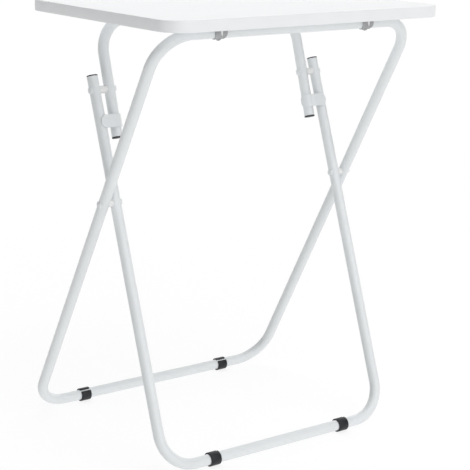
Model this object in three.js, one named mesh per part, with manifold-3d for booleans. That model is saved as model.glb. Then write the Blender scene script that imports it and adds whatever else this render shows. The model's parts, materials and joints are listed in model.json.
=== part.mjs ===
// A folding tray table: a laminated board on two crossing bent-tube leg frames.
// Millimetres, +Z up, +X across the width of the table, +Y towards its rear.
// The origin is on the floor, under the centre of the open table.
import * as THREE from "three";
import { mergeVertices } from "three/addons/utils/BufferGeometryUtils.js";
import Module from "manifold-3d";

const wasm = await Module();
wasm.setup();

// ---- Driving dimensions ---------------------------------------------------------------------
const GAP = 0.3; // running gap left between touching pieces

// Board
const TOP_WIDTH = 480;
const TOP_DEPTH = 380;
const TOP_HEIGHT = 650; // floor to top face
const TOP_THICKNESS = 16;
const TOP_CORNER_RADIUS = 35;
const EDGE_BAND = 1; // thickness of the band around the rim

// Tube
const TUBE_RADIUS = 8;
const TUBE_WALL = 1.2;
const TUBE_SIDES = 16;
const BEND_RADIUS = 52; // to the tube's centre line
const BEND_STEPS = 7;

// Widths of the three frames, between the centre lines of their legs
const OUTER_WIDTH = 444.5;
const LOWER_WIDTH = 405.5;
const UPPER_WIDTH = 356;

// Feet: C-shaped rubber sleeves on the two floor bars
const FOOT_RADIUS = 10.3;
const FOOT_LENGTH = 17.5;
const FOOT_SLOT = 4;
const REAR_FOOT_X = 135;
const FRONT_FOOT_X = 120;

// Side view of the linkage, as [y, z] with y measured from the middle of the board
const BAR_HEIGHT = TOP_HEIGHT - TOP_THICKNESS - TUBE_RADIUS - GAP;
const FRONT_BAR = new THREE.Vector2(-137.5, BAR_HEIGHT); // top bar of the outer frame
const REAR_BAR = new THREE.Vector2(90.3, BAR_HEIGHT); // top bar of the upper frame
const REAR_FLOOR_BAR = new THREE.Vector2(211.5, FOOT_RADIUS);
const FRONT_FLOOR_BAR = new THREE.Vector2(-124.6, FOOT_RADIUS);
const CROSS_TO_FRONT_BAR = 289; // along the outer leg, from the cross pivot up to the bar

const LOWER_TUBE_ABOVE_PIVOT = 20; // open end of the lower frame, above the upper pivot
const UPPER_TUBE_BELOW_PIVOT = 69.6; // tail of the upper frame, below the upper pivot

// Pivots
const RIVET_RADIUS = 3;
const RIVET_HOLE_RADIUS = 3.4;
const RIVET_HEAD_RADIUS = 5;
const RIVET_HEAD_HEIGHT = 1.4;
const RIVET_LOW_HEAD_HEIGHT = 0.8; // passes inside the outer frame when the table is folded
const LOW_HEAD_GAP = 0.15;
const SPACER_RADIUS = 5.5;
const WASHER_RADIUS = 5.5;

// Stop bracket: sheet wrapped round the upper frame's tail, with an ear across the lower leg
const BRACKET_SHEET = 1.6;
const BRACKET_HEIGHT = 19;
const BRACKET_BELOW_PIVOT = 47;
const EAR_BACK = 10.3; // from the upper frame's plane to the back of the ear
const EAR_END = LOWER_WIDTH / 2 + 4;
const WRAP_END_DEG = 205;

// End plugs
const PLUG_HEAD = 1.4;
const TAIL_PLUG_HEAD = 2.2; // in the upper frame's tails
const PLUG_STEM_RADIUS = 6.4;
const PLUG_STEM = 10;

// Saddle clips and their screws
const FRONT_CLIP_X = 130;
const REAR_CLIP_X = 98; // on the straight run of the narrower upper frame
const CLIP_WIDTH = 20;
const CLIP_WAIST = 14; // width of the strap where it passes under the bar
const CLIP_SHEET = 1;
const CLIP_FLANGE_END = 22;
const CLIP_RIB_HEIGHT = 2;
const CLIP_RIB_BASE = 6;
const SCREW_OFFSET = 16;
const SCREW_RADIUS = 1.75;
const SCREW_HOLE_RADIUS = 2.1;
const SCREW_HEAD_RADIUS = 3.5;
const SCREW_HEAD_HEIGHT = 2.2;
const SCREW_BITE = 11; // depth of the screw's thread in the board

// ---- Derived linkage ------------------------------------------------------------------------
const outerUp = FRONT_BAR.clone().sub(REAR_FLOOR_BAR).normalize();
const CROSS_PIVOT = FRONT_BAR.clone().addScaledVector(outerUp, -CROSS_TO_FRONT_BAR);
const lowerUp = CROSS_PIVOT.clone().sub(FRONT_FLOOR_BAR).normalize();

// The upper pivot lies on the lower leg where the four links can lie in one line when folded:
// (cross pivot to front bar) - (cross pivot to upper pivot) = (bar to bar) - (upper pivot to rear bar)
const barToBar = REAR_BAR.distanceTo(FRONT_BAR);
const spare = barToBar - CROSS_TO_FRONT_BAR;
const crossToRearBar = REAR_BAR.clone().sub(CROSS_PIVOT);
const CROSS_TO_UPPER_PIVOT =
  (crossToRearBar.lengthSq() - spare * spare) / (2 * (crossToRearBar.dot(lowerUp) + spare));
const UPPER_PIVOT = CROSS_PIVOT.clone().addScaledVector(lowerUp, CROSS_TO_UPPER_PIVOT);
const upperUp = REAR_BAR.clone().sub(UPPER_PIVOT).normalize();

const OUTER_LENGTH = FRONT_BAR.distanceTo(REAR_FLOOR_BAR);
const REAR_FLOOR_TO_CROSS = OUTER_LENGTH - CROSS_TO_FRONT_BAR;
const FRONT_FLOOR_TO_CROSS = CROSS_PIVOT.distanceTo(FRONT_FLOOR_BAR);
const FRONT_FLOOR_TO_UPPER_PIVOT = FRONT_FLOOR_TO_CROSS + CROSS_TO_UPPER_PIVOT;
const LOWER_LENGTH = FRONT_FLOOR_TO_UPPER_PIVOT + LOWER_TUBE_ABOVE_PIVOT;
const UPPER_LENGTH = REAR_BAR.distanceTo(UPPER_PIVOT);

// The table's box in Y runs from the board's front edge to the rear feet; the origin is its middle
const boxFront = -TOP_DEPTH / 2;
const boxRear = REAR_FLOOR_BAR.x + FOOT_RADIUS;
const ORIGIN_Y = (boxFront + boxRear) / 2;

// ---- Materials ------------------------------------------------------------------------------
const material = (color, roughness, metalness = 0) =>
  new THREE.MeshStandardMaterial({ color, roughness, metalness });
const laminate = material(0xf4f6f8, 0.35);
const bandPlastic = material(0xecedef, 0.45);
const whitePaint = material(0xe2e6e8, 0.4);
const blackRubber = material(0x1d1e20, 0.75);
const blackPlastic = material(0x2a2c2e, 0.5);
const whitePlastic = material(0xeceeee, 0.5);
const zincPlate = material(0x9a9ca0, 0.35, 0.9);

// ---- Geometry helpers -----------------------------------------------------------------------
function solid(geometry) {
  const bare = geometry.clone();
  bare.deleteAttribute("normal");
  bare.deleteAttribute("uv");
  const merged = mergeVertices(bare, 1e-4);
  return new wasm.Manifold(
    new wasm.Mesh({
      numProp: 3,
      vertProperties: merged.attributes.position.array,
      triVerts: new Uint32Array(merged.index.array),
    }),
  );
}

function geometryOf(body) {
  const mesh = body.getMesh();
  const geometry = new THREE.BufferGeometry();
  geometry.setAttribute("position", new THREE.BufferAttribute(mesh.vertProperties, 3));
  geometry.setIndex(new THREE.BufferAttribute(mesh.triVerts, 1));
  geometry.computeVertexNormals();
  return geometry;
}

function addMesh(group, name, geometry, meshMaterial) {
  const mesh = new THREE.Mesh(geometry, meshMaterial);
  mesh.name = name;
  group.add(mesh);
  return mesh;
}

function polygon(radius, sides) {
  const points = [];
  for (let i = 0; i < sides; i++) {
    const angle = (2 * Math.PI * i) / sides;
    points.push(new THREE.Vector2(radius * Math.cos(angle), radius * Math.sin(angle)));
  }
  return points;
}

// A curve given by stations, so that sections stand only where the path needs them
class StationCurve extends THREE.Curve {
  constructor(stations) {
    super();
    this.stations = stations;
  }
  station(u) {
    return this.stations[Math.round(u * (this.stations.length - 1))];
  }
  getPointAt(u) {
    return this.station(u).point.clone();
  }
  getTangentAt(u) {
    return this.station(u).tangent.clone();
  }
}

// Stations along straight runs joined by round bends at the inner corners
function bentPath(corners, radius, steps) {
  const direction = (a, b) => b.clone().sub(a).normalize();
  const stations = [{ point: corners[0], tangent: direction(corners[0], corners[1]) }];
  for (let i = 1; i < corners.length - 1; i++) {
    const before = direction(corners[i - 1], corners[i]);
    const after = direction(corners[i], corners[i + 1]);
    const turn = before.angleTo(after);
    const trim = radius * Math.tan(turn / 2);
    const side = after.clone().addScaledVector(before, -after.dot(before)).normalize();
    const start = corners[i].clone().addScaledVector(before, -trim);
    for (let k = 0; k <= steps; k++) {
      const angle = (turn * k) / steps;
      const point = start
        .clone()
        .addScaledVector(before, radius * Math.sin(angle))
        .addScaledVector(side, radius * (1 - Math.cos(angle)));
      const tangent = before
        .clone()
        .multiplyScalar(Math.cos(angle))
        .addScaledVector(side, Math.sin(angle));
      stations.push({ point, tangent });
    }
  }
  const last = corners.length - 1;
  stations.push({ point: corners[last], tangent: direction(corners[last - 1], corners[last]) });
  return stations;
}

function sweep(shape, stations) {
  return new THREE.ExtrudeGeometry(shape, {
    extrudePath: new StationCurve(stations),
    steps: stations.length - 1,
  });
}

function tubeAlong(corners) {
  const section = new THREE.Shape(polygon(TUBE_RADIUS, TUBE_SIDES));
  section.holes.push(new THREE.Path(polygon(TUBE_RADIUS - TUBE_WALL, TUBE_SIDES)));
  return solid(sweep(section, bentPath(corners, BEND_RADIUS, BEND_STEPS)));
}

// A round body about the X axis from a profile of [x, radius] points that starts and ends on it
function turnedX(profile, sides) {
  const points = profile.map(([x, radius]) => new THREE.Vector2(radius, x));
  return new THREE.LatheGeometry(points, sides).rotateZ(-Math.PI / 2);
}

// A cylinder along X between two stations
function rodX(radius, from, to, y, sides = 16) {
  const geometry = new THREE.CylinderGeometry(radius, radius, to - from, sides);
  return solid(geometry.rotateZ(Math.PI / 2).translate((from + to) / 2, y, 0));
}

function roundedRectangle(width, depth, radius) {
  const x = width / 2;
  const y = depth / 2;
  const shape = new THREE.Shape();
  shape.moveTo(-x + radius, -y);
  shape.lineTo(x - radius, -y);
  shape.absarc(x - radius, -y + radius, radius, -Math.PI / 2, 0);
  shape.lineTo(x, y - radius);
  shape.absarc(x - radius, y - radius, radius, 0, Math.PI / 2);
  shape.lineTo(-x + radius, y);
  shape.absarc(-x + radius, y - radius, radius, Math.PI / 2, Math.PI);
  shape.lineTo(-x, -y + radius);
  shape.absarc(-x + radius, -y + radius, radius, Math.PI, 1.5 * Math.PI);
  return shape;
}

// ---- Bent-tube frames, each drawn flat with its legs along Y --------------------------------
function outerFrameTube() {
  const half = (side) =>
    tubeAlong([
      new THREE.Vector3(0, 0, 0),
      new THREE.Vector3((side * OUTER_WIDTH) / 2, 0, 0),
      new THREE.Vector3((side * OUTER_WIDTH) / 2, OUTER_LENGTH, 0),
      new THREE.Vector3(0, OUTER_LENGTH, 0),
    ]);
  const hole = rodX(RIVET_HOLE_RADIUS, -TOP_WIDTH / 2, TOP_WIDTH / 2, REAR_FLOOR_TO_CROSS);
  return geometryOf(half(-1).add(half(1)).subtract(hole));
}

function uFrameTube(width, barY, endY, holes) {
  let tube = tubeAlong([
    new THREE.Vector3(-width / 2, endY, 0),
    new THREE.Vector3(-width / 2, barY, 0),
    new THREE.Vector3(width / 2, barY, 0),
    new THREE.Vector3(width / 2, endY, 0),
  ]);
  for (const y of holes) {
    tube = tube.subtract(rodX(RIVET_HOLE_RADIUS, -TOP_WIDTH / 2, TOP_WIDTH / 2, y));
  }
  return geometryOf(tube);
}

// A plug whose head closes an open tube end; its stem points along -Y
function endPlug(head) {
  const profile = [
    [0, -PLUG_STEM],
    [PLUG_STEM_RADIUS, -PLUG_STEM],
    [PLUG_STEM_RADIUS, GAP],
    [TUBE_RADIUS, GAP],
    [TUBE_RADIUS, GAP + head - 0.5],
    [TUBE_RADIUS - 0.5, GAP + head],
    [0, GAP + head],
  ];
  return new THREE.LatheGeometry(
    profile.map(([radius, y]) => new THREE.Vector2(radius, y)),
    TUBE_SIDES,
  );
}

// ---- Pivot hardware, drawn for the side at +X -----------------------------------------------
// A rivet from x0 to x1 between the undersides of its heads
function rivet(x0, x1, outerHeadHeight) {
  const dome = (start, height, sign) =>
    [0, 0.5, 1].map((k) => {
      const angle = (k * Math.PI) / 3;
      return [start + sign * height * Math.sin(angle) / Math.sin(Math.PI / 3), Math.cos(angle)];
    });
  const scaled = (points) => points.map(([x, scale]) => [x, scale * RIVET_HEAD_RADIUS]);
  const inner = scaled(dome(x0, RIVET_HEAD_HEIGHT, -1)).reverse();
  const outer = scaled(dome(x1, outerHeadHeight, 1));
  return turnedX(
    [
      [x0 - RIVET_HEAD_HEIGHT, 0],
      ...inner,
      [x0, RIVET_RADIUS],
      [x1, RIVET_RADIUS],
      ...outer,
      [x1 + outerHeadHeight, 0],
    ],
    16,
  );
}

function ringX(x0, x1, outerRadius) {
  return turnedX(
    [
      [x0, RIVET_HOLE_RADIUS],
      [x0, outerRadius],
      [x1, outerRadius],
      [x1, RIVET_HOLE_RADIUS],
      [x0, RIVET_HOLE_RADIUS],
    ],
    20,
  );
}

// ---- Stop bracket, in the upper frame's plane, for the side at +X ---------------------------
function stopBracket() {
  const x = UPPER_WIDTH / 2;
  const inside = TUBE_RADIUS + GAP;
  const outside = inside + BRACKET_SHEET;
  const earFront = EAR_BACK + BRACKET_SHEET;
  const wrapEnd = THREE.MathUtils.degToRad(WRAP_END_DEG);
  const section = new THREE.Shape();
  section.absarc(x, 0, outside, wrapEnd, Math.PI / 2, true);
  section.lineTo(x + TUBE_RADIUS * 0.8, earFront);
  section.lineTo(EAR_END, earFront);
  section.lineTo(EAR_END, EAR_BACK);
  section.lineTo(x + TUBE_RADIUS, EAR_BACK);
  section.lineTo(x, inside);
  section.absarc(x, 0, inside, Math.PI / 2, wrapEnd, false);
  const wrap = new THREE.ExtrudeGeometry(section, {
    depth: BRACKET_HEIGHT,
    bevelEnabled: false,
    curveSegments: 12,
  });
  // the section is drawn in X and the frame's normal, and stands along the leg
  wrap.rotateX(Math.PI / 2).translate(0, BRACKET_HEIGHT / 2, 0);

  // the sheet's two ends are rounded over its full height
  const end = BRACKET_HEIGHT / 2;
  const left = x - outside + end;
  const right = EAR_END - end;
  const outline = new THREE.Shape();
  outline.absarc(right, 0, end, -Math.PI / 2, Math.PI / 2);
  outline.absarc(left, 0, end, Math.PI / 2, 1.5 * Math.PI);
  const envelope = new THREE.ExtrudeGeometry(outline, {
    depth: 4 * TUBE_RADIUS,
    bevelEnabled: false,
    curveSegments: 12,
  });
  envelope.translate(0, 0, -2 * TUBE_RADIUS);
  const piece = solid(wrap).intersect(solid(envelope));
  return geometryOf(piece).translate(0, -BRACKET_BELOW_PIVOT, 0);
}

// ---- Feet, in world orientation about their floor bar ---------------------------------------
// The sleeve's slot faces up the leg, so the foot can be pushed on from below
function foot(legUp) {
  const slotAngle = Math.atan2(legUp.y, legUp.x);
  const inner = TUBE_RADIUS + GAP;
  const halfSlot = Math.asin(FOOT_SLOT / (inner + FOOT_RADIUS));
  const start = slotAngle + halfSlot;
  const end = slotAngle + 2 * Math.PI - halfSlot;
  const bottom = 1.5 * Math.PI;
  const section = new THREE.Shape();
  section.absarc(0, 0, FOOT_RADIUS, start, bottom);
  section.absarc(0, 0, FOOT_RADIUS, bottom, end);
  section.absarc(0, 0, inner, end, bottom, true);
  section.absarc(0, 0, inner, bottom, start, true);
  const sleeve = new THREE.ExtrudeGeometry(section, {
    depth: FOOT_LENGTH,
    bevelEnabled: false,
    curveSegments: 9,
  });
  // drawn in [y, z] and extruded along X
  sleeve.translate(0, 0, -FOOT_LENGTH / 2);
  return sleeve.applyMatrix4(
    new THREE.Matrix4().makeBasis(
      new THREE.Vector3(0, 1, 0),
      new THREE.Vector3(0, 0, 1),
      new THREE.Vector3(1, 0, 0),
    ),
  );
}

// ---- Saddle clip and screws, about the axis of the bar that it holds ------------------------
const SEAT = TUBE_RADIUS + GAP; // the board's underside above the bar's axis

function saddleClip() {
  const inside = TUBE_RADIUS + GAP;
  const outside = inside + CLIP_SHEET;
  const flangeTop = SEAT - GAP;
  const flangeBottom = flangeTop - CLIP_SHEET;
  const section = new THREE.Shape();
  section.moveTo(-CLIP_FLANGE_END, flangeTop);
  section.lineTo(-CLIP_FLANGE_END, flangeBottom);
  section.lineTo(-outside, flangeBottom);
  section.lineTo(-outside, 0);
  section.absarc(0, 0, outside, Math.PI, 2 * Math.PI);
  section.lineTo(outside, flangeBottom);
  section.lineTo(CLIP_FLANGE_END, flangeBottom);
  section.lineTo(CLIP_FLANGE_END, flangeTop);
  section.lineTo(inside, flangeTop);
  section.lineTo(inside, 0);
  section.absarc(0, 0, inside, 2 * Math.PI, Math.PI, true);
  section.lineTo(-inside, flangeTop);
  const strap = new THREE.ExtrudeGeometry(section, {
    depth: CLIP_WIDTH,
    bevelEnabled: false,
    curveSegments: 14,
  });
  strap.translate(0, 0, -CLIP_WIDTH / 2);

  // V-shaped stiffening rib round the strap, from flange to flange
  const ribSection = new THREE.Shape([
    new THREE.Vector2(-CLIP_SHEET / 2, -CLIP_RIB_BASE / 2),
    new THREE.Vector2(CLIP_RIB_HEIGHT, -0.4),
    new THREE.Vector2(CLIP_RIB_HEIGHT, 0.4),
    new THREE.Vector2(-CLIP_SHEET / 2, CLIP_RIB_BASE / 2),
  ]);
  const ribPath = bentPath(
    [
      new THREE.Vector3(-outside, flangeBottom + CLIP_SHEET / 2, 0),
      new THREE.Vector3(-outside, -outside, 0),
      new THREE.Vector3(outside, -outside, 0),
      new THREE.Vector3(outside, flangeBottom + CLIP_SHEET / 2, 0),
    ],
    outside,
    7,
  );
  // the two bends meet at the bottom, so their shared station is kept once
  const middle = ribPath.length / 2;
  ribPath.splice(middle, 1);
  const rib = alignedRib(ribSection, ribPath);

  let clip = solid(strap).intersect(solid(waistEnvelope(outside))).add(solid(rib));
  for (const y of [-SCREW_OFFSET, SCREW_OFFSET]) {
    const hole = new THREE.CylinderGeometry(SCREW_HOLE_RADIUS, SCREW_HOLE_RADIUS, 8, 16);
    clip = clip.subtract(solid(hole.translate(y, SEAT, 0)));
  }
  return geometryOf(clip).applyMatrix4(
    new THREE.Matrix4().makeBasis(
      new THREE.Vector3(0, 1, 0),
      new THREE.Vector3(0, 0, 1),
      new THREE.Vector3(1, 0, 0),
    ),
  );
}

// Keeps the flanges at full width and draws the strap in towards its lowest point
function waistEnvelope(outside) {
  const full = CLIP_WIDTH / 2;
  const waist = CLIP_WAIST / 2;
  const reach = 2 * CLIP_FLANGE_END;
  const sides = (half) => [
    new THREE.Vector2(SEAT, half),
    new THREE.Vector2(0, half),
    new THREE.Vector2(-outside, Math.sign(half) * waist),
  ];
  const outline = new THREE.Shape([...sides(full), ...sides(-full).reverse()]);
  const block = new THREE.ExtrudeGeometry(outline, { depth: reach, bevelEnabled: false });
  block.translate(0, 0, -reach / 2);
  // drawn in [height, width] and extruded along the strap's run
  return block.applyMatrix4(
    new THREE.Matrix4().makeBasis(
      new THREE.Vector3(0, 1, 0),
      new THREE.Vector3(0, 0, 1),
      new THREE.Vector3(1, 0, 0),
    ),
  );
}

// The rib's section stands on the outside of the strap, whatever frame the sweep starts with
function alignedRib(section, stations) {
  const frames = new StationCurve(stations).computeFrenetFrames(stations.length - 1, false);
  const outward = new THREE.Vector3(-1, 0, 0);
  const turn = Math.atan2(outward.dot(frames.binormals[0]), outward.dot(frames.normals[0]));
  const turned = section
    .getPoints()
    .map((point) => point.clone().rotateAround(new THREE.Vector2(0, 0), turn));
  return sweep(new THREE.Shape(turned), stations);
}

// A pan-head screw standing up along Z from under the flange
function screw(tip) {
  const under = SEAT - GAP - CLIP_SHEET - GAP;
  const profile = [
    [0, under - SCREW_HEAD_HEIGHT],
    [SCREW_HEAD_RADIUS * 0.6, under - SCREW_HEAD_HEIGHT],
    [SCREW_HEAD_RADIUS, under - SCREW_HEAD_HEIGHT * 0.45],
    [SCREW_HEAD_RADIUS, under],
    [SCREW_RADIUS, under],
    [SCREW_RADIUS, tip],
    [0, tip],
  ];
  const points = profile.map(([radius, z]) => new THREE.Vector2(radius, z));
  return new THREE.LatheGeometry(points, 12).rotateX(Math.PI / 2);
}

// ---- Board and edge band --------------------------------------------------------------------
function boardSolid() {
  const shrink = 2 * (EDGE_BAND + GAP);
  const shape = roundedRectangle(
    TOP_WIDTH - shrink,
    TOP_DEPTH - shrink,
    TOP_CORNER_RADIUS - shrink / 2,
  );
  const slab = new THREE.ExtrudeGeometry(shape, {
    depth: TOP_THICKNESS,
    bevelEnabled: false,
    curveSegments: 10,
  });
  let board = solid(slab.translate(0, 0, TOP_HEIGHT - TOP_THICKNESS));
  for (const x of [-REAR_CLIP_X, REAR_CLIP_X]) {
    for (const offset of [-SCREW_OFFSET, SCREW_OFFSET]) {
      const depth = SCREW_BITE + 1;
      const hole = new THREE.CylinderGeometry(SCREW_HOLE_RADIUS, SCREW_HOLE_RADIUS, 2 * depth, 16);
      hole.rotateX(Math.PI / 2);
      hole.translate(x, REAR_BAR.x + offset, TOP_HEIGHT - TOP_THICKNESS);
      board = board.subtract(solid(hole));
    }
  }
  return geometryOf(board);
}

function edgeBand() {
  const shape = roundedRectangle(TOP_WIDTH, TOP_DEPTH, TOP_CORNER_RADIUS);
  shape.holes.push(
    roundedRectangle(
      TOP_WIDTH - 2 * EDGE_BAND,
      TOP_DEPTH - 2 * EDGE_BAND,
      TOP_CORNER_RADIUS - EDGE_BAND,
    ),
  );
  const band = new THREE.ExtrudeGeometry(shape, {
    depth: TOP_THICKNESS,
    bevelEnabled: false,
    curveSegments: 10,
  });
  return band.translate(0, 0, TOP_HEIGHT - TOP_THICKNESS);
}

// ---- Assembly -------------------------------------------------------------------------------
const table = new THREE.Group();
const linkage = new THREE.Group(); // its y is measured from the middle of the board
linkage.position.y = -ORIGIN_Y;
table.add(linkage);

// A group whose Y runs up a leg from the given point of the side view
function planeOf(origin, up) {
  const group = new THREE.Group();
  group.position.set(0, origin.x, origin.y);
  group.rotation.x = Math.atan2(up.y, up.x);
  linkage.add(group);
  return group;
}

// The right-hand side as drawn, and the left-hand side as its mirror image
function bothSides(parent, place) {
  for (const [side, word] of [[1, "right"], [-1, "left"]]) {
    const half = new THREE.Group();
    half.scale.x = side;
    parent.add(half);
    place(half, word);
  }
}

function addLowerLegFrame() {
  const plane = planeOf(FRONT_FLOOR_BAR, lowerUp);
  const holes = [FRONT_FLOOR_TO_CROSS, FRONT_FLOOR_TO_UPPER_PIVOT];
  const tube = uFrameTube(LOWER_WIDTH, 0, LOWER_LENGTH, holes);
  addMesh(plane, "lower_leg_frame_tube", tube, whitePaint);
  bothSides(plane, (half, word) => {
    const plug = addMesh(half, "lower_frame_end_plug_" + word, endPlug(PLUG_HEAD), blackPlastic);
    plug.position.set(LOWER_WIDTH / 2, LOWER_LENGTH, 0);

    const lowerInner = LOWER_WIDTH / 2 - TUBE_RADIUS;
    const lowerOuter = LOWER_WIDTH / 2 + TUBE_RADIUS;
    const outerInner = OUTER_WIDTH / 2 - TUBE_RADIUS;
    const outerOuter = OUTER_WIDTH / 2 + TUBE_RADIUS;
    const upperInner = UPPER_WIDTH / 2 - TUBE_RADIUS;
    const upperOuter = UPPER_WIDTH / 2 + TUBE_RADIUS;

    const crossRivet = rivet(lowerInner - GAP, outerOuter + GAP, RIVET_HEAD_HEIGHT);
    addMesh(half, "cross_pivot_rivet_" + word, crossRivet, whitePaint)
      .position.y = FRONT_FLOOR_TO_CROSS;
    const washer = ringX(lowerOuter + GAP, outerInner - GAP, WASHER_RADIUS);
    addMesh(half, "cross_pivot_washer_" + word, washer, whitePlastic)
      .position.y = FRONT_FLOOR_TO_CROSS;

    const upperRivet = rivet(upperInner - GAP, lowerOuter + LOW_HEAD_GAP, RIVET_LOW_HEAD_HEIGHT);
    addMesh(half, "upper_pivot_rivet_" + word, upperRivet, whitePaint)
      .position.y = FRONT_FLOOR_TO_UPPER_PIVOT;
    const spacer = ringX(upperOuter + GAP, lowerInner - GAP, SPACER_RADIUS);
    addMesh(half, "upper_pivot_spacer_" + word, spacer, whitePlastic)
      .position.y = FRONT_FLOOR_TO_UPPER_PIVOT;
  });
  bothSides(linkage, (half, word) => {
    const sleeve = addMesh(half, "front_foot_" + word, foot(lowerUp), blackRubber);
    sleeve.position.set(FRONT_FOOT_X, FRONT_FLOOR_BAR.x, FRONT_FLOOR_BAR.y);
  });
}

function addOuterLegFrame() {
  const plane = planeOf(REAR_FLOOR_BAR, outerUp);
  addMesh(plane, "outer_leg_frame_tube", outerFrameTube(), whitePaint);
  bothSides(linkage, (half, word) => {
    const sleeve = addMesh(half, "rear_foot_" + word, foot(outerUp), blackRubber);
    sleeve.position.set(REAR_FOOT_X, REAR_FLOOR_BAR.x, REAR_FLOOR_BAR.y);
    // the front clips turn on this frame's top bar, and their screws end under the board
    addClip(half, "front_clip", word, FRONT_CLIP_X, FRONT_BAR, SEAT - GAP);
  });
}

function addUpperLegFrame() {
  const plane = planeOf(UPPER_PIVOT, upperUp);
  const tube = uFrameTube(UPPER_WIDTH, UPPER_LENGTH, -UPPER_TUBE_BELOW_PIVOT, [0]);
  addMesh(plane, "upper_leg_frame_tube", tube, whitePaint);
  bothSides(plane, (half, word) => {
    const plug = addMesh(half, "upper_frame_end_plug_" + word, endPlug(TAIL_PLUG_HEAD), blackPlastic);
    plug.position.set(UPPER_WIDTH / 2, -UPPER_TUBE_BELOW_PIVOT, 0);
    plug.rotation.z = Math.PI;
    addMesh(half, "stop_bracket_" + word, stopBracket(), whitePaint);
  });
}

function addClip(parent, name, word, x, bar, screwTip) {
  const clip = addMesh(parent, name + "_" + word, saddleClip(), zincPlate);
  clip.position.set(x, bar.x, bar.y);
  for (const [offset, where] of [[-SCREW_OFFSET, "front"], [SCREW_OFFSET, "rear"]]) {
    const fastener = addMesh(
      parent,
      name + "_screw_" + word + "_" + where,
      screw(screwTip),
      zincPlate,
    );
    fastener.position.set(x, bar.x + offset, bar.y);
  }
}

function addTabletop() {
  addMesh(linkage, "tabletop_board", boardSolid(), laminate);
  addMesh(linkage, "tabletop_edge_band", edgeBand(), bandPlastic);
  bothSides(linkage, (half, word) => {
    addClip(half, "rear_clip", word, REAR_CLIP_X, REAR_BAR, SEAT + SCREW_BITE);
  });
}

addLowerLegFrame();
addOuterLegFrame();
addUpperLegFrame();
addTabletop();

export default table;
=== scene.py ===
import json
import math

import bmesh
import bpy
from mathutils import Matrix, Vector


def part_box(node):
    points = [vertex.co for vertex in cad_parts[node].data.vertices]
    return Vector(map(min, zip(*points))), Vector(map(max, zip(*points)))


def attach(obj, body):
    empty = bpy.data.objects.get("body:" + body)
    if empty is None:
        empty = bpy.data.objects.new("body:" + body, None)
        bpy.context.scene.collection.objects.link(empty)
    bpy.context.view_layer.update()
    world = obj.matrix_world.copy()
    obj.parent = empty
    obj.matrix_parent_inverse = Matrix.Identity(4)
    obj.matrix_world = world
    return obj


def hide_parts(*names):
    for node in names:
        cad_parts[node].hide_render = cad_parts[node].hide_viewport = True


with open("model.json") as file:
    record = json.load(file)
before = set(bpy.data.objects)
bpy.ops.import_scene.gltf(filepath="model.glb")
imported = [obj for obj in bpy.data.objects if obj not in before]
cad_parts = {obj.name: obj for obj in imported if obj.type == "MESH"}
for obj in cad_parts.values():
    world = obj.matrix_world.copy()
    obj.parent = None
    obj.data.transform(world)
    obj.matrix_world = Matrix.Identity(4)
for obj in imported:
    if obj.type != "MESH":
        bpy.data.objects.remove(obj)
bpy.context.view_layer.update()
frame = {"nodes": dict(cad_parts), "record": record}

RECORD = frame["record"]
BODY_OF = {n: b for b, nodes in RECORD["behaviour"]["bodies"].items() for n in nodes}
SLOT_OF = {s["node"]: s["material_slot"] for s in RECORD["subparts"]}
PIVOT = {j["name"]: Vector(j["pos_m"]) for j in RECORD["behaviour"]["joints"]}
MM = 0.001
X_AXIS = Vector((1, 0, 0))
Y_AXIS = Vector((0, 1, 0))
Z_AXIS = Vector((0, 0, 1))

SIDES = (("right", 1), ("left", -1))  # word in the names, sign of x

# ---- Sizes of the detail that the CAD solids leave plain, in metres --------------------------
GAP = 0.3 * MM  # clearance between a tube and what is wrapped round it

TUBE_R = 8 * MM
TUBE_BORE = 6.8 * MM
TUBE_LIP = 0.35 * MM  # broken edge at an open end
BEND_R = 52 * MM

PLUG_HEAD = 1.4 * MM
TAIL_PLUG_HEAD = 2.2 * MM  # in the upper frame's tails
PLUG_ROUNDING = 0.7 * MM
PLUG_CHAMFER = 0.15 * MM
PLUG_DISH = ((5 * MM, 0.12 * MM), (2 * MM, 0.3 * MM), (0, 0.33 * MM))  # (radius, depth)
PLUG_STEM = 9 * MM
PLUG_STEM_R = 6.4 * MM
PLUG_TIP = 1 * MM  # length of the stem's taper
PLUG_TIP_R = 6 * MM

RIVET_SHANK_R = 3 * MM
WASHER_BORE = 3.4 * MM
DOME_RIM = 0.3  # share of a rivet head's height that is straight

BRACKET_SHEET = 1.6 * MM
BRACKET_HALF_HEIGHT = 9.5 * MM
BRACKET_EDGE = 0.35 * MM
EAR_ROOT = 0.95  # where the ear's flat ends, in tube radii outside the tube's axis
STEP_FOOT = 0.55  # the same for the foot of the step below it
STEP_DEPTH = 0.5 * MM
WRAP_START_DEG = 78
WRAP_END_DEG = 205
BLUNT_HALF = 0.25 * MM  # half height left at the sheet's round ends

FOOT_R = 10.3 * MM
FOOT_BORE = 8.1 * MM
FOOT_SLOT_HALF = 2 * MM
FOOT_ROUNDING = 0.9 * MM

CLIP_SHEET = 1.0 * MM
CLIP_EDGE = 0.25 * MM
CLIP_BEND = 1.2 * MM
CLIP_CORNER = 4 * MM
CLIP_WAIST = 7 * MM  # half width at the strap's lowest point
RIB_HALF = 3 * MM
RIB_RUN_OUT = 3 * MM  # height over which the rib fades into the flange
# painted highlight: a lighter drop of colour down the clips' rib crest, standing in for light
# caught there
CREST_HALF = 2.4 * MM
CREST_END_DEG = 64  # the painted highlight's end, measured from straight down
CREST_TAPER_DEG = 26  # over which the drop narrows to that end
CREST_LEAST = 0.02  # narrowest part of the drop, as a share of its width
CREST_EDGE_GAIN = 1.5  # how fast the drop sets in from its two sides
CREST_END_GAIN = 4  # and from its end

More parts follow.
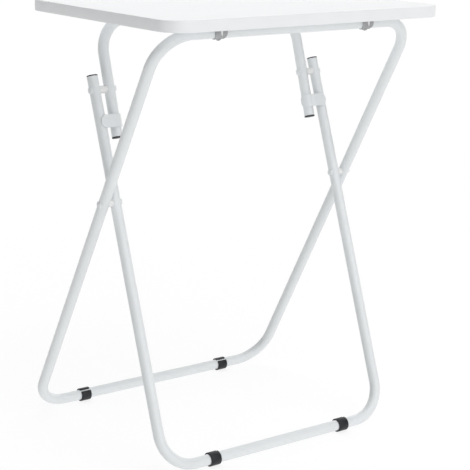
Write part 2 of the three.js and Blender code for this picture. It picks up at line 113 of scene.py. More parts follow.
PAN_HEAD = (  # (radius, height) from the crown to the top of the rim, in mm
    (0, 0), (1.2, 0.02), (2.2, 0.2), (3.0, 0.65), (3.4, 1.2), (3.5, 1.8), (3.5, 2.2),
)
THREAD_R = 1.75 * MM
RECESS_HALF_LENGTH = 1.9 * MM
RECESS_HALF_WIDTH = 0.45 * MM
RECESS_DEPTH = 1.1 * MM
RECESS_RUN_IN = 1 * MM  # how far the cutter starts outside the head

BOARD_CORNER_R = 35 * MM
BOARD_ARRIS = 0.9 * MM
BAND = 1.0 * MM
BAND_JOINT = 0.05 * MM
LAMINATE_EDGE = 0.12 * MM

# ---- Fineness of the meshes ------------------------------------------------------------------
TUBE_SIDES = 48
BEND_STEPS = 20
TURNED_SIDES = 40
SCREW_SIDES = 32
FOOT_STEPS = 64
PLUG_STEPS = 6
DOME_STEPS = 7
ARRIS_STEPS = 5
CORNER_STEPS = 18
BRACKET_WRAP_STEPS = 22
BRACKET_STEP = 0.8 * MM
BRACKET_COLUMNS = 8
CLIP_WRAP_STEPS = 30
CLIP_BEND_STEPS = 5
CLIP_STEP = 0.9 * MM
CLIP_COLUMNS = 10
RIB_COLUMNS = 30
MERGE_DISTANCE = 1e-7
SHARP_DEG = 35
HARD_EDGE_DEG = 40  # edges sharper than this are rounded by soften()
SOFTENED_SHARP_DEG = 50
BAND_SHARP_DEG = 60
BEVEL_STEPS = 2
FOOT_BEVEL_STEPS = 4
NEARLY_PARALLEL = 0.9


# ---- Where things are, read from the frame ---------------------------------------------------
def middle(node):
    low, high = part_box(node)
    return (low + high) / 2


def reach(node, origin, direction):
    """Least and greatest distance of a node's vertices from origin along direction."""
    along = [(v.co - origin).dot(direction) for v in frame["nodes"][node].data.vertices]
    return min(along), max(along)


CROSS = PIVOT["cross_pivot_fold"]
UPPER = PIVOT["upper_pivot_fold"]
REAR_BAR = PIVOT["rear_bar_fold"]
FRONT_BAR = Vector((0, middle("front_clip_right").y, REAR_BAR.z))
FLOOR_BAR_Z = FOOT_R


def on_line(a, b, z):
    """The point of the line through a and b at height z."""
    return a + (b - a) * ((z - a.z) / (b.z - a.z))


REAR_FLOOR = on_line(FRONT_BAR, CROSS, FLOOR_BAR_Z)
FRONT_FLOOR = on_line(UPPER, CROSS, FLOOR_BAR_Z)
OUTER_UP = (FRONT_BAR - REAR_FLOOR).normalized()
LOWER_UP = (UPPER - FRONT_FLOOR).normalized()
UPPER_UP = (REAR_BAR - UPPER).normalized()


def half_width(node):
    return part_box(node)[1].x - TUBE_R


OUTER_X = half_width("outer_leg_frame_tube")
LOWER_X = half_width("lower_leg_frame_tube")
UPPER_X = half_width("upper_leg_frame_tube")


# ---- Mesh building ---------------------------------------------------------------------------
def make_object(name, verts, faces, sharp_deg=SHARP_DEG):
    mesh = bpy.data.meshes.new(name)
    mesh.from_pydata([tuple(v) for v in verts], [], faces)
    mesh.validate()
    bm = bmesh.new()
    bm.from_mesh(mesh)
    bmesh.ops.remove_doubles(bm, verts=bm.verts, dist=MERGE_DISTANCE)
    bmesh.ops.recalc_face_normals(bm, faces=bm.faces)
    bm.to_mesh(mesh)
    bm.free()
    mesh.polygons.foreach_set("use_smooth", [True] * len(mesh.polygons))
    mesh.set_sharp_from_angle(angle=math.radians(sharp_deg))
    obj = bpy.data.objects.new(name, mesh)
    bpy.context.scene.collection.objects.link(obj)
    return obj


def soften(obj, width, segments):
    """Rounds the hard edges of a piece in its own mesh."""
    bm = bmesh.new()
    bm.from_mesh(obj.data)
    limit = math.radians(HARD_EDGE_DEG)
    hard = [e for e in bm.edges if len(e.link_faces) == 2 and e.calc_face_angle() > limit]
    bmesh.ops.bevel(
        bm, geom=hard, offset=width, offset_type="OFFSET", segments=segments,
        profile=0.5, affect="EDGES", clamp_overlap=True,
    )
    bm.to_mesh(obj.data)
    bm.free()
    obj.data.polygons.foreach_set("use_smooth", [True] * len(obj.data.polygons))
    obj.data.set_sharp_from_angle(angle=math.radians(SOFTENED_SHARP_DEG))


def mirrored(verts, side):
    return [Vector((side * v.x, v.y, v.z)) for v in verts]


def ring_faces(rings, closed=False):
    """Faces between successive rings of equal count; a ring of one vertex is a pole."""
    faces = []
    pairs = list(zip(rings, rings[1:]))
    if closed:
        pairs.append((rings[-1], rings[0]))
    for a, b in pairs:
        count = max(len(a), len(b))
        for k in range(count):
            n = (k + 1) % count
            if len(a) == 1:
                faces.append((a[0], b[n], b[k]))
            elif len(b) == 1:
                faces.append((a[k], a[n], b[0]))
            else:
                faces.append((a[k], a[n], b[n], b[k]))
    return faces


def turned(origin, axis, profile, segments=TURNED_SIDES, closed=False):
    """A body of revolution from (radius, height) points. It starts and ends at radius 0, or its
    profile is a closed loop that stays off the axis."""
    axis = axis.normalized()
    across = axis.cross(X_AXIS if abs(axis.x) < NEARLY_PARALLEL else Y_AXIS).normalized()
    other = axis.cross(across)
    verts, rings = [], []
    for radius, height in profile:
        ring = []
        for k in range(segments if radius else 1):
            angle = 2 * math.pi * k / segments
            spoke = across * math.cos(angle) + other * math.sin(angle)
            ring.append(len(verts))
            verts.append(origin + axis * height + spoke * radius)
        rings.append(ring)
    return verts, ring_faces(rings, closed)


def rounded_path(corners, radius, steps, closed=False):
    """(point, tangent) stations in a plane along straight runs with round corners."""
    count = len(corners)
    stations = []
    for i, corner in enumerate(corners):
        if not closed and i in (0, count - 1):
            other = corners[1] if i == 0 else corners[-2]
            tangent = (other - corner if i == 0 else corner - other).normalized()
            stations.append((corner, tangent))
            continue
        before = (corner - corners[i - 1]).normalized()
        after = (corners[(i + 1) % count] - corner).normalized()
        turn = before.angle(after)
        side = (after - before * after.dot(before)).normalized()
        start = corner - before * radius * math.tan(turn / 2)
        for k in range(steps + 1):
            a = turn * k / steps
            point = start + before * radius * math.sin(a) + side * radius * (1 - math.cos(a))
            stations.append((point, before * math.cos(a) + side * math.sin(a)))
    return stations


def swept_ring(verts, station, normal, radius, shift=0.0):
    """Adds a circle of vertices round a station, shifted along it, and returns their indices."""
    point, tangent = station
    side = tangent.cross(normal)
    ring = []
    for k in range(TUBE_SIDES):
        a = 2 * math.pi * k / TUBE_SIDES
        ring.append(len(verts))
        verts.append(
            point + tangent * shift + (side * math.cos(a) + normal * math.sin(a)) * radius
        )
    return ring


def tube_loop(corners, normal):
    """A tube that closes on itself. Its bore is sealed in, so only the outside is made."""
    verts = []
    rings = [
        swept_ring(verts, s, normal, TUBE_R)
        for s in rounded_path(corners, BEND_R, BEND_STEPS, closed=True)
    ]
    return verts, ring_faces(rings, closed=True)


def tube_open(corners, normal):
    """A tube with its bore, and a small broken edge at each open end."""
    verts = []
    stations = rounded_path(corners, BEND_R, BEND_STEPS)
    first, last = stations[0], stations[-1]
    rings = [swept_ring(verts, first, normal, TUBE_R - TUBE_LIP)]
    rings.append(swept_ring(verts, first, normal, TUBE_R, TUBE_LIP))
    rings += [swept_ring(verts, s, normal, TUBE_R) for s in stations[1:-1]]
    rings.append(swept_ring(verts, last, normal, TUBE_R, -TUBE_LIP))
    rings.append(swept_ring(verts, last, normal, TUBE_R - TUBE_LIP))
    rings += [swept_ring(verts, s, normal, TUBE_BORE) for s in reversed(stations)]
    return verts, ring_faces(rings, closed=True)


def prism(outline, place, depth_vector):
    """A closed body from an outline of 2-D points set by place(), drawn out along a vector."""
    base = [place(u, v) for u, v in outline]
    count = len(base)
    verts = base + [p + depth_vector for p in base]
    faces = [tuple(range(count)), tuple(reversed(range(count, 2 * count)))]
    faces += [(k, (k + 1) % count, count + (k + 1) % count, count + k) for k in range(count)]
    return verts, faces


def even_columns(count):
    """Shares of a half width from -1 to 1, in count even steps on each side of 0."""
    return [k / count for k in range(-count, count + 1)]


def arc(cx, cy, radius, start_deg, end_deg, steps):
    points = []
    for k in range(steps + 1):
        a = math.radians(start_deg + (end_deg - start_deg) * k / steps)
        points.append((cx + radius * math.cos(a), cy + radius * math.sin(a)))
    return points


def strip(centre, half, rise, thickness, columns, place):
    """Pressed sheet: centre is a list of (u, v, nu, nv) stations, half(i) the half width at a
    station, rise(i, x) how far the sheet is pressed out, place(u, v, x) its point."""
    rows = len(centre)
    verts = []
    layers = []
    for offset in (-thickness / 2, thickness / 2):
        layer = []
        for i, (u, v, nu, nv) in enumerate(centre):
            row = []
            for c in columns:
                x = c * half(i)
                d = offset + rise(i, x)
                row.append(len(verts))
                verts.append(place(u + nu * d, v + nv * d, x))
            layer.append(row)
        layers.append(layer)
    low, high = layers
    last = len(columns) - 1
    faces = []
    for i in range(rows - 1):
        for k in range(last):
            faces.append((high[i][k], high[i][k + 1], high[i + 1][k + 1], high[i + 1][k]))
            faces.append((low[i][k], low[i + 1][k], low[i + 1][k + 1], low[i][k + 1]))
        faces.append((low[i][0], high[i][0], high[i + 1][0], low[i + 1][0]))
        faces.append((low[i][last], low[i + 1][last], high[i + 1][last], high[i][last]))
    for i in (0, rows - 1):
        for k in range(last):
            faces.append((low[i][k], low[i][k + 1], high[i][k + 1], high[i][k]))
    return verts, faces


def thick_path(points):
    """Adds to each 2-D point the normal on the left of the path."""
    out = []
    for i, (u, v) in enumerate(points):
        a = points[max(i - 1, 0)]
        b = points[min(i + 1, len(points) - 1)]
        du, dv = b[0] - a[0], b[1] - a[1]
        size = math.hypot(du, dv)
        out.append((u, v, -dv / size, du / size))
    return out


def dense(points, step):
    """The same path with points no further apart than step."""
    out = [points[0]]
    for a, b in zip(points, points[1:]):
        n = max(1, math.ceil(math.hypot(b[0] - a[0], b[1] - a[1]) / step))
        out += [(a[0] + (b[0] - a[0]) * k / n, a[1] + (b[1] - a[1]) * k / n)
                for k in range(1, n + 1)]
    return out


# ---- Materials -------------------------------------------------------------------------------
COAT_ROUGHNESS = 0.12
NOISE_ROUGHNESS = 0.55
COLOR_DETAIL = 4.0
BUMP_DETAIL = 2.0
MOTTLE_LOW, MOTTLE_HIGH = 0.3, 0.7  # noise values between which the colour runs
ROUGH_NOISE_RATIO = 2.3  # how much finer the noise of the roughness is than the colour's
LEAST_ROUGHNESS = 0.02
CREST_LOW, CREST_HIGH = 0.25, 0.75  # attribute values between which the painted highlight sets in


def node_material(name, color, roughness, metallic=0.0, mottle=(30, 0.02), rough_spread=0.06,
                  bumps=((900, 0.00002),), grain=None, coat=0.0, specular=0.5, crest=None):
    """mottle is (noise scale, share of the colour), bumps are (noise scale, height in metres),
    grain stretches all noise, and crest is the colour of a painted highlight, laid where the mesh
    attribute crest is 1."""
    mat = bpy.data.materials.new(name)
    mat.use_nodes = True
    tree = mat.node_tree
    shader = tree.nodes["Principled BSDF"]
    shader.inputs["Metallic"].default_value = metallic
    shader.inputs["Specular IOR Level"].default_value = specular
    shader.inputs["Coat Weight"].default_value = coat
    shader.inputs["Coat Roughness"].default_value = COAT_ROUGHNESS
    coords = tree.nodes.new("ShaderNodeTexCoord")
    vector = coords.outputs["Object"]
    if grain:
        mapping = tree.nodes.new("ShaderNodeMapping")
        mapping.inputs["Scale"].default_value = grain
        tree.links.new(vector, mapping.inputs["Vector"])
        vector = mapping.outputs["Vector"]

    def noise(scale, detail=COLOR_DETAIL):
        node = tree.nodes.new("ShaderNodeTexNoise")
        node.inputs["Scale"].default_value = scale
        node.inputs["Detail"].default_value = detail
        node.inputs["Roughness"].default_value = NOISE_ROUGHNESS
        tree.links.new(vector, node.inputs["Vector"])
        return node.outputs["Fac"]

    ramp = tree.nodes.new("ShaderNodeValToRGB")
    scale, amount = mottle
    ramp.color_ramp.elements[0].position = MOTTLE_LOW
    ramp.color_ramp.elements[1].position = MOTTLE_HIGH
    ramp.color_ramp.elements[0].color = [c * (1 - amount) for c in color] + [1]
    ramp.color_ramp.elements[1].color = [min(1, c * (1 + amount)) for c in color] + [1]
    tree.links.new(noise(scale), ramp.inputs["Fac"])
    color_out = ramp.outputs["Color"]
    # painted highlight: a lighter colour mixed in where the mesh attribute marks the rib's crest
    if crest:
        painted_highlight_attribute = tree.nodes.new("ShaderNodeAttribute")
        painted_highlight_attribute.attribute_name = "crest"
        sharpen = tree.nodes.new("ShaderNodeMapRange")
        sharpen.inputs["From Min"].default_value = CREST_LOW
        sharpen.inputs["From Max"].default_value = CREST_HIGH
        mix = tree.nodes.new("ShaderNodeMix")
        mix.data_type = "RGBA"
        mix.inputs["B"].default_value = (*crest, 1)
        tree.links.new(painted_highlight_attribute.outputs["Fac"], sharpen.inputs["Value"])
        tree.links.new(sharpen.outputs["Result"], mix.inputs["Factor"])
        tree.links.new(color_out, mix.inputs["A"])
        color_out = mix.outputs["Result"]
    tree.links.new(color_out, shader.inputs["Base Color"])

    spread = tree.nodes.new("ShaderNodeMapRange")
    spread.inputs["To Min"].default_value = max(LEAST_ROUGHNESS, roughness - rough_spread)
    spread.inputs["To Max"].default_value = min(1.0, roughness + rough_spread)
    tree.links.new(noise(scale * ROUGH_NOISE_RATIO), spread.inputs["Value"])
    tree.links.new(spread.outputs["Result"], shader.inputs["Roughness"])

    normal = None
    for bump_scale, distance in bumps:
        bump = tree.nodes.new("ShaderNodeBump")
        bump.inputs["Distance"].default_value = distance
        tree.links.new(noise(bump_scale, BUMP_DETAIL), bump.inputs["Height"])
        if normal is not None:
            tree.links.new(normal, bump.inputs["Normal"])
        normal = bump.outputs["Normal"]
    tree.links.new(normal, shader.inputs["Normal"])
    return mat


MATERIALS = {
    "white_laminate": node_material(
        "white_laminate", (0.945, 0.953, 0.962), 0.44, mottle=(14, 0.008), rough_spread=0.05,
        bumps=((700, 0.000015), (120, 0.00001)), specular=0.25,
    ),
    "white_edge_plastic": node_material(
        "white_edge_plastic", (0.80, 0.812, 0.822), 0.42, mottle=(25, 0.012),
        bumps=((900, 0.00002),), grain=(1, 1, 0.25),
    ),
    "white_powder_coat": node_material(
        "white_powder_coat", (0.735, 0.76, 0.77), 0.36, mottle=(22, 0.015), rough_spread=0.07,
        bumps=((850, 0.00004), (260, 0.00002)), coat=0.15,
    ),
    # the crest colour of the zinc plating is a painted highlight on the clips' rib
    "zinc_plated_steel": node_material(
        "zinc_plated_steel", (0.36, 0.365, 0.375), 0.34, metallic=0.9, mottle=(170, 0.14),
        rough_spread=0.12, bumps=((1200, 0.00003),), grain=(0.35, 1, 1), crest=(0.80, 0.80, 0.80),
    ),
    "black_rubber": node_material(
        "black_rubber", (0.011, 0.0125, 0.016), 0.42, mottle=(90, 0.25), rough_spread=0.10,
        bumps=((1400, 0.00006), (300, 0.00004)), specular=0.38,
    ),
    "black_plastic": node_material(
        "black_plastic", (0.04, 0.041, 0.043), 0.48, mottle=(80, 0.15),
        bumps=((1600, 0.00003),),
    ),
    "white_nylon": node_material(
        "white_nylon", (0.80, 0.80, 0.79), 0.45, mottle=(60, 0.02), bumps=((1300, 0.00003),),
        specular=0.4,
    ),
}


def stand_in(node, verts, faces, bevel=None, segments=BEVEL_STEPS, sharp_deg=SHARP_DEG):
    """A finished piece in place of one CAD node, on its body and in its finish."""
    piece = make_object(node + "_finished", verts, faces, sharp_deg)
    if bevel:
        soften(piece, bevel, segments)
    piece.data.materials.append(MATERIALS[SLOT_OF[node]])
    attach(piece, BODY_OF[node])
    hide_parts(node)
    return piece


# ---- Leg frames ------------------------------------------------------------------------------
def in_plane(origin, up):
    """A function that places (x, distance along up) in a leg frame's own plane."""
    return lambda x, s: origin + X_AXIS * x + up * s


def build_tubes():
    at = in_plane(REAR_FLOOR, OUTER_UP)
    length = (FRONT_BAR - REAR_FLOOR).length
    corners = [at(-OUTER_X, 0), at(OUTER_X, 0), at(OUTER_X, length), at(-OUTER_X, length)]
    stand_in("outer_leg_frame_tube", *tube_loop(corners, X_AXIS.cross(OUTER_UP)))

    at = in_plane(FRONT_FLOOR, LOWER_UP)
    end = reach("lower_leg_frame_tube", FRONT_FLOOR, LOWER_UP)[1]
    corners = [at(-LOWER_X, end), at(-LOWER_X, 0), at(LOWER_X, 0), at(LOWER_X, end)]
    stand_in("lower_leg_frame_tube", *tube_open(corners, X_AXIS.cross(LOWER_UP)))

    at = in_plane(UPPER, UPPER_UP)
    end = reach("upper_leg_frame_tube", UPPER, UPPER_UP)[0]
    bar = (REAR_BAR - UPPER).length
    corners = [at(-UPPER_X, end), at(-UPPER_X, bar), at(UPPER_X, bar), at(UPPER_X, end)]
    stand_in("upper_leg_frame_tube", *tube_open(corners, X_AXIS.cross(UPPER_UP)))


def plug_profile(low, top):
    """(radius, height) points of a plug: a tapered stem below low, a chamfered collar, and a head
    with a round rim and a shallow dish up to top."""
    end = low - PLUG_STEM
    stem = [(0, end), (PLUG_TIP_R, end), (PLUG_STEM_R, end + PLUG_TIP), (PLUG_STEM_R, low)]
    collar = [(TUBE_R - PLUG_CHAMFER, low), (TUBE_R, low + PLUG_CHAMFER)]
    rim = arc(TUBE_R - PLUG_ROUNDING, top - PLUG_ROUNDING, PLUG_ROUNDING, 0, 90, PLUG_STEPS)
    dish = [(radius, top - depth) for radius, depth in PLUG_DISH]
    return stem + collar + rim + dish


def build_plugs():
    for word, side in SIDES:
        for node, x, origin, direction, head in (
            ("lower_frame_end_plug_", LOWER_X, FRONT_FLOOR, LOWER_UP, PLUG_HEAD),
            ("upper_frame_end_plug_", UPPER_X, UPPER, -UPPER_UP, TAIL_PLUG_HEAD),
        ):
            node += word
            top = reach(node, origin, direction)[1]
            start = origin + X_AXIS * side * x
            profile = plug_profile(top - head, top)
            stand_in(node, *turned(start, direction, profile, TUBE_SIDES))


# ---- Pivots ----------------------------------------------------------------------------------
def dome(radius, height):
    """(radius, rise) points of a low domed head from its rim to its crown."""
    rim = DOME_RIM * height
    points = [(radius, 0), (radius, rim)]
    for k in range(1, DOME_STEPS + 1):
        a = math.pi / 2 * k / DOME_STEPS
        points.append((radius * math.cos(a), rim + (height - rim) * math.sin(a)))
    return points


def span_on_x(node, centre):
    """Nearest and furthest distance from the middle of the table, and radius about the axis."""
    points = [v.co for v in frame["nodes"][node].data.vertices]
    along = [abs(p.x) for p in points]
    radius = max(math.hypot(p.y - centre.y, p.z - centre.z) for p in points)
    return min(along), max(along), radius


def seat(radius):
    """How far a round tube falls away from its tangent plane at this distance from the pivot."""
    return TUBE_R - math.sqrt(TUBE_R**2 - radius**2)


def build_pivots():
    """Rivet heads, washers and spacers are let into the tubes' round sides, so none stands off."""
    for word, side in SIDES:
        for node, centre, inner_x, outer_x in (
            ("cross_pivot_rivet_", CROSS, LOWER_X - TUBE_R, OUTER_X + TUBE_R),
            ("upper_pivot_rivet_", UPPER, UPPER_X - TUBE_R, LOWER_X + TUBE_R),
        ):
            node += word
            low, high, head = span_on_x(node, centre)
            inner = [(r, inner_x - h) for r, h in dome(head, inner_x - low)]
            outer = [(r, outer_x + h) for r, h in dome(head, high - outer_x)]
            inner_face = inner_x + seat(head)
            outer_face = outer_x - seat(head)
            shank = [(head, inner_face), (RIVET_SHANK_R, inner_face),
                     (RIVET_SHANK_R, outer_face), (head, outer_face)]
            profile = list(reversed(inner)) + shank + outer
            stand_in(node, *turned(Vector((0, centre.y, centre.z)), X_AXIS * side, profile))
        for node, centre in (("cross_pivot_washer_", CROSS), ("upper_pivot_spacer_", UPPER)):
            node += word
            low, high, radius = span_on_x(node, centre)
            low, high = low - seat(radius), high + seat(radius)
            profile = [(WASHER_BORE, low), (radius, low), (radius, high), (WASHER_BORE, high)]
            start = Vector((0, centre.y, centre.z))
            stand_in(node, *turned(start, X_AXIS * side, profile, closed=True))


# ---- Stop brackets ---------------------------------------------------------------------------
def build_brackets():
    """A plate whose ear lies in front of the lower leg and whose other end wraps the tail."""
    normal = X_AXIS.cross(UPPER_UP)
    wrap = TUBE_R + GAP + BRACKET_SHEET / 2
    for word, side in SIDES:
        node = "stop_bracket_" + word
        low, high = reach(node, UPPER, UPPER_UP)
        level = (low + high) / 2
        end_x = max(abs(v.co.x) for v in frame["nodes"][node].data.vertices)
        front = reach(node, UPPER, normal)[1] - BRACKET_SHEET / 2
        points = [(end_x, front), (UPPER_X + TUBE_R * EAR_ROOT, front)]
        points.append((UPPER_X + TUBE_R * STEP_FOOT, front - STEP_DEPTH))
        points += arc(UPPER_X, 0, wrap, WRAP_START_DEG, WRAP_END_DEG, BRACKET_WRAP_STEPS)
        path = thick_path(dense(points, BRACKET_STEP))
        lengths = [0.0]
        for a, b in zip(path, path[1:]):
            lengths.append(lengths[-1] + math.hypot(b[0] - a[0], b[1] - a[1]))

        def half(i, lengths=lengths):
            d = min(lengths[i], lengths[-1] - lengths[i])
            if d >= BRACKET_HALF_HEIGHT:
                return BRACKET_HALF_HEIGHT
            inward = BRACKET_HALF_HEIGHT - d
            return max(BLUNT_HALF, math.sqrt(BRACKET_HALF_HEIGHT**2 - inward**2))

        verts, faces = strip(
            path, half, lambda i, x: 0.0, BRACKET_SHEET, even_columns(BRACKET_COLUMNS),
            lambda u, v, x: UPPER + X_AXIS * u + normal * v + UPPER_UP * (level + x),
        )
        stand_in(node, mirrored(verts, side), faces, bevel=BRACKET_EDGE)


# ---- Rubber feet -----------------------------------------------------------------------------
def build_feet():
    """Split sleeves whose slot faces up, in the plane of the legs."""
    half_slot = math.degrees(math.asin(FOOT_SLOT_HALF / FOOT_R))
    for prefix, bar, up in (
        ("rear_foot_", REAR_FLOOR, OUTER_UP), ("front_foot_", FRONT_FLOOR, LOWER_UP),
    ):
        slot_deg = math.degrees(math.atan2(up.z, up.y))
        start, end = slot_deg + half_slot, slot_deg + 360 - half_slot
        outline = arc(0, 0, FOOT_R, start, end, FOOT_STEPS)
        outline += arc(0, 0, FOOT_BORE, end, start, FOOT_STEPS)
        for word, _ in SIDES:
            node = prefix + word
            low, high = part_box(node)
            verts, faces = prism(
                outline,
                lambda u, v, x=low.x: Vector((x, bar.y + u, bar.z + v)),
                X_AXIS * (high.x - low.x),
            )
            stand_in(node, verts, faces, bevel=FOOT_ROUNDING, segments=FOOT_BEVEL_STEPS)


# ---- Saddle clips and screws -----------------------------------------------------------------
def paint_crest_highlight(piece, x0, bar):
    """A mesh attribute for a painted highlight, up to 1 where it lies: a drop down the front and
    the rear of the rib's crest, which narrows to its end well above the strap's lowest point."""
    values = []
    for v in piece.data.vertices:
        down = math.degrees(math.atan2(abs(v.co.y - bar.y), bar.z - v.co.z))
        taper = min(1.0, max(CREST_LEAST, (down - CREST_END_DEG) / CREST_TAPER_DEG))
        across = max(0.0, 1 - abs(v.co.x - x0) / (CREST_HALF * taper))
        ending = CREST_END_GAIN * (taper - CREST_LEAST)
        values.append(min(1.0, CREST_EDGE_GAIN * across, ending))
    crest = piece.data.attributes.new("crest", "FLOAT", "POINT")
    crest.data.foreach_set("value", values)


def clip_section(flange_end, flange, wrap):
    """The middle line of a clip's sheet across the bar: flange, half circle below, flange."""
    bend_u = wrap + CLIP_BEND
    bend_v = flange - CLIP_BEND
    points = [(-flange_end, flange), (-bend_u, flange)]
    points += arc(-bend_u, bend_v, CLIP_BEND, 90, 0, CLIP_BEND_STEPS)[1:]
    points += arc(0, 0, wrap, 180, 360, CLIP_WRAP_STEPS)
    points += arc(bend_u, bend_v, CLIP_BEND, 180, 90, CLIP_BEND_STEPS)
    return points + [(flange_end, flange)]


def build_clips():
    wrap = TUBE_R + GAP + CLIP_SHEET / 2
    rib_columns = {c for c in even_columns(RIB_COLUMNS) if abs(c) <= 1 / 3}
    columns = sorted(set(even_columns(CLIP_COLUMNS)) | rib_columns)
    for prefix, bar in (("front_clip_", FRONT_BAR), ("rear_clip_", REAR_BAR)):
        for word, _ in SIDES:
            node = prefix + word
            low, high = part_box(node)
            x0 = (low.x + high.x) / 2
            full = (high.x - low.x) / 2
            flange_end = (high.y - low.y) / 2
            flange = high.z - bar.z - CLIP_SHEET / 2
            rib = bar.z - low.z - wrap - CLIP_SHEET / 2
            path = thick_path(dense(clip_section(flange_end, flange, wrap), CLIP_STEP))

            def half(i, path=path, full=full, flange_end=flange_end):
                u, v = path[i][:2]
                depth = min(1.0, max(0.0, -v / wrap))
                wide = full + (CLIP_WAIST - full) * depth**2
                d = flange_end - abs(u)
                if d >= CLIP_CORNER:
                    return wide
                inward = CLIP_CORNER - d
                return wide - CLIP_CORNER + math.sqrt(max(0.0, CLIP_CORNER**2 - inward**2))

            def rise(i, x, path=path, flange=flange, rib=rib):
                fade = min(1.0, max(0.0, (flange - path[i][1]) / RIB_RUN_OUT))
                return -rib * fade * max(0.0, 1 - abs(x) / RIB_HALF)

            verts, faces = strip(
                path, half, rise, CLIP_SHEET, columns,
                lambda u, v, x, x0=x0, bar=bar: Vector((x0 + x, bar.y + u, bar.z + v)),
            )
            piece = stand_in(node, verts, faces, bevel=CLIP_EDGE)
            # painted highlight down the rib's crest
            paint_crest_highlight(piece, x0, bar)


def cross_recess(piece, centre):
    """Cuts a cross recess into a screw head that faces down."""
    length, width = RECESS_HALF_LENGTH, RECESS_HALF_WIDTH
    cutters = []
    for along, across in ((length, width), (width, length)):
        outline = [(-along, -across), (along, -across), (along, across), (-along, across)]
        verts, faces = prism(
            outline,
            lambda u, v: Vector((centre.x + u, centre.y + v, centre.z - RECESS_RUN_IN)),
            Z_AXIS * (RECESS_DEPTH + RECESS_RUN_IN),
        )
        cutters.append(make_object("recess_cutter", verts, faces))
    for cutter in cutters:
        cut = piece.modifiers.new("recess", "BOOLEAN")
        cut.operation = "DIFFERENCE"
        cut.object = cutter
        cut.solver = "EXACT"
    bpy.context.view_layer.update()
    evaluated = piece.evaluated_get(bpy.context.evaluated_depsgraph_get())
    mesh = bpy.data.meshes.new_from_object(evaluated)
    piece.modifiers.clear()
    piece.data = mesh
    for cutter in cutters:
        bpy.data.objects.remove(cutter)


def build_screws():
    """Pan-head screws driven up into the board from below."""
    head = [(radius * MM, height * MM) for radius, height in PAN_HEAD]
    for prefix in ("front_clip_screw_", "rear_clip_screw_"):
        for word, _ in SIDES:
            for end in ("front", "rear"):
                node = prefix + word + "_" + end
                low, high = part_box(node)
                length = high.z - low.z
                thread = [(THREAD_R, head[-1][1]), (THREAD_R, length), (0, length)]
                base = Vector((*middle(node).xy, low.z))
                piece = stand_in(node, *turned(base, Z_AXIS, head + thread, SCREW_SIDES))
                cross_recess(piece, base)


# ---- Tabletop --------------------------------------------------------------------------------
def rounded_outline(low, high, radius):
    """A rectangle in plan with round corners, anticlockwise from above."""
    corners = (
        (high.x - radius, high.y - radius, 0), (low.x + radius, high.y - radius, 90),
        (low.x + radius, low.y + radius, 180), (high.x - radius, low.y + radius, 270),
    )
    return [p for cx, cy, a in corners for p in arc(cx, cy, radius, a, a + 90, CORNER_STEPS)]


def stacked(outlines):
    """Vertices of (plan outline, height) pairs, with each outline's indices as a ring."""
    verts, rings = [], []
    for outline, z in outlines:
        rings.append(list(range(len(verts), len(verts) + len(outline))))
        verts += [Vector((x, y, z)) for x, y in outline]
    return verts, rings


def build_tabletop():
    low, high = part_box("tabletop_edge_band")

    def inset(d):
        margin = Vector((d, d, 0))
        return rounded_outline(low + margin, high - margin, BOARD_CORNER_R - d)

    lower_arris = []
    upper_arris = []
    for k in range(ARRIS_STEPS + 1):
        a = math.pi / 2 * k / ARRIS_STEPS
        near = BOARD_ARRIS * (1 - math.sin(a))
        far = BOARD_ARRIS * (1 - math.cos(a))
        lower_arris.append((inset(near), low.z + far))
        upper_arris.append((inset(far), high.z - near))
    inside = [(inset(BAND), high.z), (inset(BAND), low.z)]
    verts, rings = stacked(lower_arris + upper_arris + inside)
    faces = ring_faces(rings, closed=True)
    stand_in("tabletop_edge_band", verts, faces, sharp_deg=BAND_SHARP_DEG)

    rim = BAND + BAND_JOINT
    layers = [
        (inset(rim + LAMINATE_EDGE), low.z), (inset(rim), low.z + LAMINATE_EDGE),
        (inset(rim), high.z - LAMINATE_EDGE), (inset(rim + LAMINATE_EDGE), high.z),
    ]
    verts, rings = stacked(layers)
    faces = ring_faces(rings)
    faces.append(tuple(rings[0]))
    faces.append(tuple(reversed(rings[-1])))
    stand_in("tabletop_board", verts, faces)


build_tubes()
build_plugs()
build_pivots()
build_brackets()
build_feet()
build_clips()
build_screws()
build_tabletop()


# ---- Floor, light and camera -----------------------------------------------------------------
FLOOR_HALF = 60  # metres
FLOOR_GLOW = 0.81
SKY = 0.16
SKY_COLOR = (0.985, 0.99, 1.0, 1)
LAMP_DISTANCE = 3
# wide soft sources: name, direction towards it, strength, apparent width in degrees
SOFT_LIGHTS = (
    ("overhead", Vector((0.10, -0.25, 0.96)), 0.69, 50),
    ("front", Vector((0.0, -0.85, 0.52)), 1.5, 70),
    ("side", Vector((-0.7, -0.5, 0.5)), 0.08, 70),
    ("backdrop", Vector((0.6, 0.8, 0.35)), 2.1, 100),
)
CAMERA_PLACE = Vector((-1.3016, -1.7730, 0.8445))  # metres
CAMERA_YAW_DEG = 36.646
CAMERA_PITCH_DEG = 13.081
CAMERA_ROLL_DEG = 0.858
CAMERA_SENSOR = 36  # sensor width and lens in camera millimetres
CAMERA_LENS = 114.29
CAMERA_SHIFT_Y = -0.05


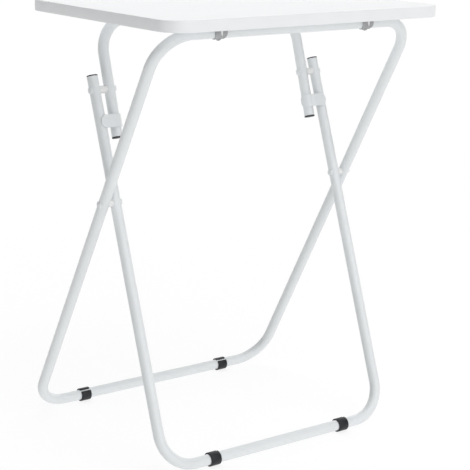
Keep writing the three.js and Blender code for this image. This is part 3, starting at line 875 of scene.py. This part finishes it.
def build_stage():
    corners = ((-1, -1), (1, -1), (1, 1), (-1, 1))
    verts = [Vector((x * FLOOR_HALF, y * FLOOR_HALF, 0)) for x, y in corners]
    floor = make_object("floor", verts, [(0, 1, 2, 3)])
    pale = node_material(
        "pale_floor", (0.20, 0.20, 0.20), 0.9, mottle=(2, 0.004), bumps=((40, 0.0001),),
        specular=0.05,
    )
    # a little light of its own, as a lit paper sweep has, so that the shadows on it stay faint
    shader = pale.node_tree.nodes["Principled BSDF"]
    shader.inputs["Emission Color"].default_value = (1, 1, 1, 1)
    shader.inputs["Emission Strength"].default_value = FLOOR_GLOW
    floor.data.materials.append(pale)

    world = bpy.data.worlds.new("studio")
    bpy.context.scene.world = world
    world.use_nodes = True
    background = world.node_tree.nodes["Background"]
    background.inputs["Color"].default_value = SKY_COLOR
    background.inputs["Strength"].default_value = SKY

    for name, direction, strength, spread_deg in SOFT_LIGHTS:
        light = bpy.data.lights.new(name, "SUN")
        light.energy = strength
        light.angle = math.radians(spread_deg)
        lamp = bpy.data.objects.new(name, light)
        lamp.location = direction * LAMP_DISTANCE
        lamp.rotation_euler = direction.to_track_quat("Z", "Y").to_euler()
        bpy.context.scene.collection.objects.link(lamp)


def build_camera():
    yaw = math.radians(CAMERA_YAW_DEG)
    pitch = math.radians(CAMERA_PITCH_DEG)
    roll = math.radians(CAMERA_ROLL_DEG)
    forward = Vector((
        math.sin(yaw) * math.cos(pitch), math.cos(yaw) * math.cos(pitch), -math.sin(pitch),
    ))
    level = Vector((math.cos(yaw), -math.sin(yaw), 0))
    above = level.cross(forward)
    right = level * math.cos(roll) + above * math.sin(roll)
    up = above * math.cos(roll) - level * math.sin(roll)
    data = bpy.data.cameras.new("camera")
    data.sensor_width = CAMERA_SENSOR
    data.lens = CAMERA_LENS
    data.shift_y = CAMERA_SHIFT_Y
    camera = bpy.data.objects.new("camera", data)
    rotation = Matrix((right, up, -forward)).transposed()
    camera.matrix_world = Matrix.Translation(CAMERA_PLACE) @ rotation.to_4x4()
    bpy.context.scene.collection.objects.link(camera)
    bpy.context.scene.camera = camera


build_stage()
build_camera()
bpy.context.scene.view_settings.view_transform = "Standard"
